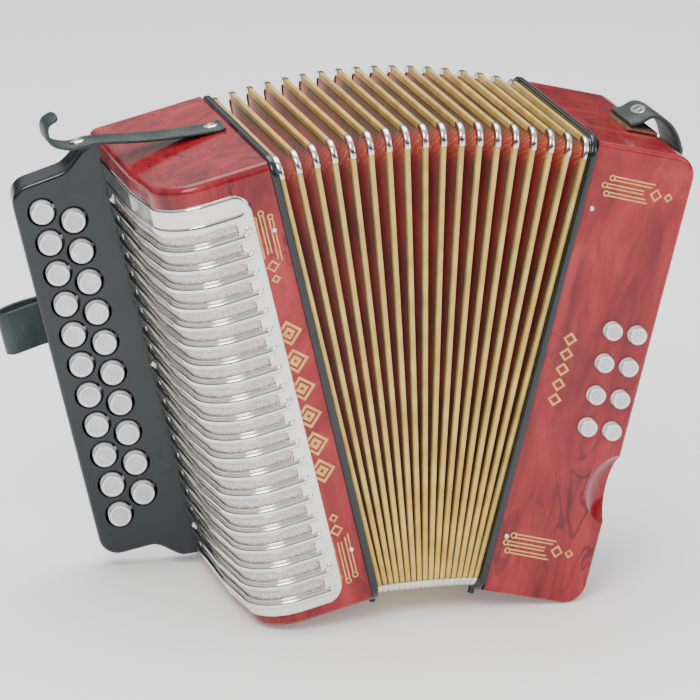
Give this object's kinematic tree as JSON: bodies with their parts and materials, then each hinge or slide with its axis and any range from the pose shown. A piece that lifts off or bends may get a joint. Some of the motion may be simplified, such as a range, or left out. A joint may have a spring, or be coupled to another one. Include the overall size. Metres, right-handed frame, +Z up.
{
  "type": "button accordion",
  "caption": "Button accordion with two casings joined by pleated bellows open in a fan, a stamped grille, sprung treble and bass buttons and leather straps.",
  "frame": {"origin": "middle of the footprint on the surface that the two casings stand on", "axes": "+X from the button side towards the bass side, +Y from the grille side towards the player, +Z up"},
  "size_m": [0.3942, 0.1802, 0.3047],
  "materials": {
    "red_celluloid": "polished pearl celluloid",
    "black_lacquer": "gloss black lacquer",
    "nickel": "bright nickel plate",
    "metal_cloth": "woven metal thread",
    "bellows_cloth": "card and cloth with gold tape",
    "spruce": "planed",
    "reed_metal": "satin",
    "axle_steel": "drawn wire",
    "strap_leather": "grained black",
    "pearl_button": "polished white pearl",
    "guide_wood": "plain"
  },
  "bodies": {
    "treble": {"treble_casing": "red_celluloid", "treble_grille": "nickel", "grille_cloth": "metal_cloth", "fingerboard": "black_lacquer", "fingerboard_back": "black_lacquer", "treble_lever_axle": "axle_steel", "treble_soundboard": "spruce", "treble_reed_blocks": "spruce", "treble_reed_plates": "reed_metal", "treble_bellows_frame": "black_lacquer", "bellows_strap": "strap_leather", "thumb_strap": "strap_leather", "treble_fittings": "nickel"},
    "bellows_fold_1": {"bellows_fold_1": "bellows_cloth"},
    "bellows_fold_2": {"bellows_fold_2": "bellows_cloth"},
    "bellows_fold_3": {"bellows_fold_3": "bellows_cloth"},
    "bellows_fold_4": {"bellows_fold_4": "bellows_cloth"},
    "bellows_fold_5": {"bellows_fold_5": "bellows_cloth"},
    "bellows_fold_6": {"bellows_fold_6": "bellows_cloth"},
    "bellows_fold_7": {"bellows_fold_7": "bellows_cloth"},
    "bellows_fold_8": {"bellows_fold_8": "bellows_cloth"},
    "bass": {"bass_bellows_frame": "black_lacquer", "bass_casing": "red_celluloid", "bass_end_cover": "red_celluloid", "bass_soundboard": "spruce", "bass_reed_blocks": "spruce", "bass_reed_plates": "reed_metal", "bass_hand_strap": "strap_leather", "bass_fittings": "nickel", "bass_button_guide": "guide_wood"},
    "treble_key_01": {"treble_key_01": "pearl_button"},
    "treble_key_02": {"treble_key_02": "pearl_button"},
    "treble_key_03": {"treble_key_03": "pearl_button"},
    "treble_key_04": {"treble_key_04": "pearl_button"},
    "treble_key_05": {"treble_key_05": "pearl_button"},
    "treble_key_06": {"treble_key_06": "pearl_button"},
    "treble_key_07": {"treble_key_07": "pearl_button"},
    "treble_key_08": {"treble_key_08": "pearl_button"},
    "treble_key_09": {"treble_key_09": "pearl_button"},
    "treble_key_10": {"treble_key_10": "pearl_button"},
    "treble_key_11": {"treble_key_11": "pearl_button"},
    "treble_key_12": {"treble_key_12": "pearl_button"},
    "treble_key_13": {"treble_key_13": "pearl_button"},
    "treble_key_14": {"treble_key_14": "pearl_button"},
    "treble_key_15": {"treble_key_15": "pearl_button"},
    "treble_key_16": {"treble_key_16": "pearl_button"},
    "treble_key_17": {"treble_key_17": "pearl_button"},
    "treble_key_18": {"treble_key_18": "pearl_button"},
    "treble_key_19": {"treble_key_19": "pearl_button"},
    "treble_key_20": {"treble_key_20": "pearl_button"},
    "treble_key_21": {"treble_key_21": "pearl_button"},
    "bass_button_1": {"bass_button_1": "pearl_button"},
    "bass_button_2": {"bass_button_2": "pearl_button"},
    "bass_button_3": {"bass_button_3": "pearl_button"},
    "bass_button_4": {"bass_button_4": "pearl_button"},
    "bass_button_5": {"bass_button_5": "pearl_button"},
    "bass_button_6": {"bass_button_6": "pearl_button"},
    "bass_button_7": {"bass_button_7": "pearl_button"},
    "bass_button_8": {"bass_button_8": "pearl_button"},
    "air_button": {"air_button": "pearl_button"}
  },
  "joints": [
    {"name": "bellows_fan", "type": "hinge", "parent": "treble", "child": "bass", "pos_m": [0.02368, -0.00789, 0.02129], "axis": [0, 1, 0], "range_deg": [-27.3, 18]},
    {"name": "fold_1_turn", "type": "hinge", "parent": "treble", "child": "bellows_fold_1", "pos_m": [-0.00216, -0.00789, 0.01796], "axis": [0, 1, 0], "range_deg": [-2.42, 1.6]},
    {"name": "fold_2_turn", "type": "hinge", "parent": "treble", "child": "bellows_fold_2", "pos_m": [0.00113, -0.00789, 0.0186], "axis": [0, 1, 0], "range_deg": [-5.63, 3.72]},
    {"name": "fold_3_turn", "type": "hinge", "parent": "treble", "child": "bellows_fold_3", "pos_m": [0.00443, -0.00789, 0.01917], "axis": [0, 1, 0], "range_deg": [-8.84, 5.83]},
    {"name": "fold_4_turn", "type": "hinge", "parent": "treble", "child": "bellows_fold_4", "pos_m": [0.00775, -0.00789, 0.01969], "axis": [0, 1, 0], "range_deg": [-12.05, 7.95]},
    {"name": "fold_5_turn", "type": "hinge", "parent": "treble", "child": "bellows_fold_5", "pos_m": [0.01108, -0.00789, 0.02014], "axis": [0, 1, 0], "range_deg": [-15.27, 10.07]},
    {"name": "fold_6_turn", "type": "hinge", "parent": "treble", "child": "bellows_fold_6", "pos_m": [0.01442, -0.00789, 0.02053], "axis": [0, 1, 0], "range_deg": [-18.48, 12.19]},
    {"name": "fold_7_turn", "type": "hinge", "parent": "treble", "child": "bellows_fold_7", "pos_m": [0.01778, -0.00789, 0.02087], "axis": [0, 1, 0], "range_deg": [-21.69, 14.3]},
    {"name": "fold_8_turn", "type": "hinge", "parent": "treble", "child": "bellows_fold_8", "pos_m": [0.02115, -0.00789, 0.02113], "axis": [0, 1, 0], "range_deg": [-24.9, 16.42]},
    {"name": "treble_key_01_press", "type": "hinge", "parent": "treble", "child": "treble_key_01", "pos_m": [-0.12284, 0.05961, 0.24159], "axis": [0.2132, 0, -0.977], "range_deg": [0, 5], "stiffness_Nm_per_rad": 0.4, "springref_deg": -5.73},
    {"name": "treble_key_02_press", "type": "hinge", "parent": "treble", "child": "treble_key_02", "pos_m": [-0.12072, 0.05961, 0.23186], "axis": [0.2132, 0, -0.977], "range_deg": [0, 5], "stiffness_Nm_per_rad": 0.4, "springref_deg": -5.73},
    {"name": "treble_key_03_press", "type": "hinge", "parent": "treble", "child": "treble_key_03", "pos_m": [-0.1186, 0.05961, 0.22214], "axis": [0.2132, 0, -0.977], "range_deg": [0, 5], "stiffness_Nm_per_rad": 0.4, "springref_deg": -5.73},
    {"name": "treble_key_04_press", "type": "hinge", "parent": "treble", "child": "treble_key_04", "pos_m": [-0.11647, 0.05961, 0.21242], "axis": [0.2132, 0, -0.977], "range_deg": [0, 5], "stiffness_Nm_per_rad": 0.4, "springref_deg": -5.73},
    {"name": "treble_key_05_press", "type": "hinge", "parent": "treble", "child": "treble_key_05", "pos_m": [-0.11435, 0.05961, 0.2027], "axis": [0.2132, 0, -0.977], "range_deg": [0, 5], "stiffness_Nm_per_rad": 0.4, "springref_deg": -5.73},
    {"name": "treble_key_06_press", "type": "hinge", "parent": "treble", "child": "treble_key_06", "pos_m": [-0.11223, 0.05961, 0.19298], "axis": [0.2132, 0, -0.977], "range_deg": [0, 5], "stiffness_Nm_per_rad": 0.4, "springref_deg": -5.73},
    {"name": "treble_key_07_press", "type": "hinge", "parent": "treble", "child": "treble_key_07", "pos_m": [-0.11011, 0.05961, 0.18326], "axis": [0.2132, 0, -0.977], "range_deg": [0, 5], "stiffness_Nm_per_rad": 0.4, "springref_deg": -5.73},
    {"name": "treble_key_08_press", "type": "hinge", "parent": "treble", "child": "treble_key_08", "pos_m": [-0.10799, 0.05961, 0.17354], "axis": [0.2132, 0, -0.977], "range_deg": [0, 5], "stiffness_Nm_per_rad": 0.4, "springref_deg": -5.73},
    {"name": "treble_key_09_press", "type": "hinge", "parent": "treble", "child": "treble_key_09", "pos_m": [-0.10586, 0.05961, 0.16382], "axis": [0.2132, 0, -0.977], "range_deg": [0, 5], "stiffness_Nm_per_rad": 0.4, "springref_deg": -5.73},
    {"name": "treble_key_10_press", "type": "hinge", "parent": "treble", "child": "treble_key_10", "pos_m": [-0.10374, 0.05961, 0.1541], "axis": [0.2132, 0, -0.977], "range_deg": [0, 5], "stiffness_Nm_per_rad": 0.4, "springref_deg": -5.73},
    {"name": "treble_key_11_press", "type": "hinge", "parent": "treble", "child": "treble_key_11", "pos_m": [-0.10162, 0.05961, 0.14438], "axis": [0.2132, 0, -0.977], "range_deg": [0, 5], "stiffness_Nm_per_rad": 0.4, "springref_deg": -5.73},
    {"name": "treble_key_12_press", "type": "hinge", "parent": "treble", "child": "treble_key_12", "pos_m": [-0.0995, 0.05961, 0.13465], "axis": [0.2132, 0, -0.977], "range_deg": [0, 5], "stiffness_Nm_per_rad": 0.4, "springref_deg": -5.73},
    {"name": "treble_key_13_press", "type": "hinge", "parent": "treble", "child": "treble_key_13", "pos_m": [-0.09738, 0.05961, 0.12493], "axis": [0.2132, 0, -0.977], "range_deg": [0, 5], "stiffness_Nm_per_rad": 0.4, "springref_deg": -5.73},
    {"name": "treble_key_14_press", "type": "hinge", "parent": "treble", "child": "treble_key_14", "pos_m": [-0.09526, 0.05961, 0.11521], "axis": [0.2132, 0, -0.977], "range_deg": [0, 5], "stiffness_Nm_per_rad": 0.4, "springref_deg": -5.73},
    {"name": "treble_key_15_press", "type": "hinge", "parent": "treble", "child": "treble_key_15", "pos_m": [-0.09313, 0.05961, 0.10549], "axis": [0.2132, 0, -0.977], "range_deg": [0, 5], "stiffness_Nm_per_rad": 0.4, "springref_deg": -5.73},
    {"name": "treble_key_16_press", "type": "hinge", "parent": "treble", "child": "treble_key_16", "pos_m": [-0.09101, 0.05961, 0.09577], "axis": [0.2132, 0, -0.977], "range_deg": [0, 5], "stiffness_Nm_per_rad": 0.4, "springref_deg": -5.73},
    {"name": "treble_key_17_press", "type": "hinge", "parent": "treble", "child": "treble_key_17", "pos_m": [-0.08889, 0.05961, 0.08605], "axis": [0.2132, 0, -0.977], "range_deg": [0, 5], "stiffness_Nm_per_rad": 0.4, "springref_deg": -5.73},
    {"name": "treble_key_18_press", "type": "hinge", "parent": "treble", "child": "treble_key_18", "pos_m": [-0.08677, 0.05961, 0.07633], "axis": [0.2132, 0, -0.977], "range_deg": [0, 5], "stiffness_Nm_per_rad": 0.4, "springref_deg": -5.73},
    {"name": "treble_key_19_press", "type": "hinge", "parent": "treble", "child": "treble_key_19", "pos_m": [-0.08465, 0.05961, 0.0666], "axis": [0.2132, 0, -0.977], "range_deg": [0, 5], "stiffness_Nm_per_rad": 0.4, "springref_deg": -5.73},
    {"name": "treble_key_20_press", "type": "hinge", "parent": "treble", "child": "treble_key_20", "pos_m": [-0.08252, 0.05961, 0.05688], "axis": [0.2132, 0, -0.977], "range_deg": [0, 5], "stiffness_Nm_per_rad": 0.4, "springref_deg": -5.73},
    {"name": "treble_key_21_press", "type": "hinge", "parent": "treble", "child": "treble_key_21", "pos_m": [-0.0804, 0.05961, 0.04716], "axis": [0.2132, 0, -0.977], "range_deg": [0, 5], "stiffness_Nm_per_rad": 0.4, "springref_deg": -5.73},
    {"name": "bass_button_1_press", "type": "slide", "parent": "bass", "child": "bass_button_1", "axis": [0, 1, 0], "range_m": [0, 0.0036], "stiffness_N_per_m": 300, "springref_m": -0.003},
    {"name": "bass_button_2_press", "type": "slide", "parent": "bass", "child": "bass_button_2", "axis": [0, 1, 0], "range_m": [0, 0.0036], "stiffness_N_per_m": 300, "springref_m": -0.003},
    {"name": "bass_button_3_press", "type": "slide", "parent": "bass", "child": "bass_button_3", "axis": [0, 1, 0], "range_m": [0, 0.0036], "stiffness_N_per_m": 300, "springref_m": -0.003},
    {"name": "bass_button_4_press", "type": "slide", "parent": "bass", "child": "bass_button_4", "axis": [0, 1, 0], "range_m": [0, 0.0036], "stiffness_N_per_m": 300, "springref_m": -0.003},
    {"name": "bass_button_5_press", "type": "slide", "parent": "bass", "child": "bass_button_5", "axis": [0, 1, 0], "range_m": [0, 0.0036], "stiffness_N_per_m": 300, "springref_m": -0.003},
    {"name": "bass_button_6_press", "type": "slide", "parent": "bass", "child": "bass_button_6", "axis": [0, 1, 0], "range_m": [0, 0.0036], "stiffness_N_per_m": 300, "springref_m": -0.003},
    {"name": "bass_button_7_press", "type": "slide", "parent": "bass", "child": "bass_button_7", "axis": [0, 1, 0], "range_m": [0, 0.0036], "stiffness_N_per_m": 300, "springref_m": -0.003},
    {"name": "bass_button_8_press", "type": "slide", "parent": "bass", "child": "bass_button_8", "axis": [0, 1, 0], "range_m": [0, 0.0036], "stiffness_N_per_m": 300, "springref_m": -0.003},
    {"name": "air_button_press", "type": "slide", "parent": "bass", "child": "air_button", "axis": [-0.966, 0, 0.2586], "range_m": [0, 0.004], "stiffness_N_per_m": 300, "springref_m": -0.003}
  ],
  "couplings": [
    {"joint": "fold_1_turn", "follows": "bellows_fan", "ratio": 0.088235},
    {"joint": "fold_2_turn", "follows": "bellows_fan", "ratio": 0.20588},
    {"joint": "fold_3_turn", "follows": "bellows_fan", "ratio": 0.32353},
    {"joint": "fold_4_turn", "follows": "bellows_fan", "ratio": 0.44118},
    {"joint": "fold_5_turn", "follows": "bellows_fan", "ratio": 0.55882},
    {"joint": "fold_6_turn", "follows": "bellows_fan", "ratio": 0.67647},
    {"joint": "fold_7_turn", "follows": "bellows_fan", "ratio": 0.79412},
    {"joint": "fold_8_turn", "follows": "bellows_fan", "ratio": 0.91177}
  ]
}
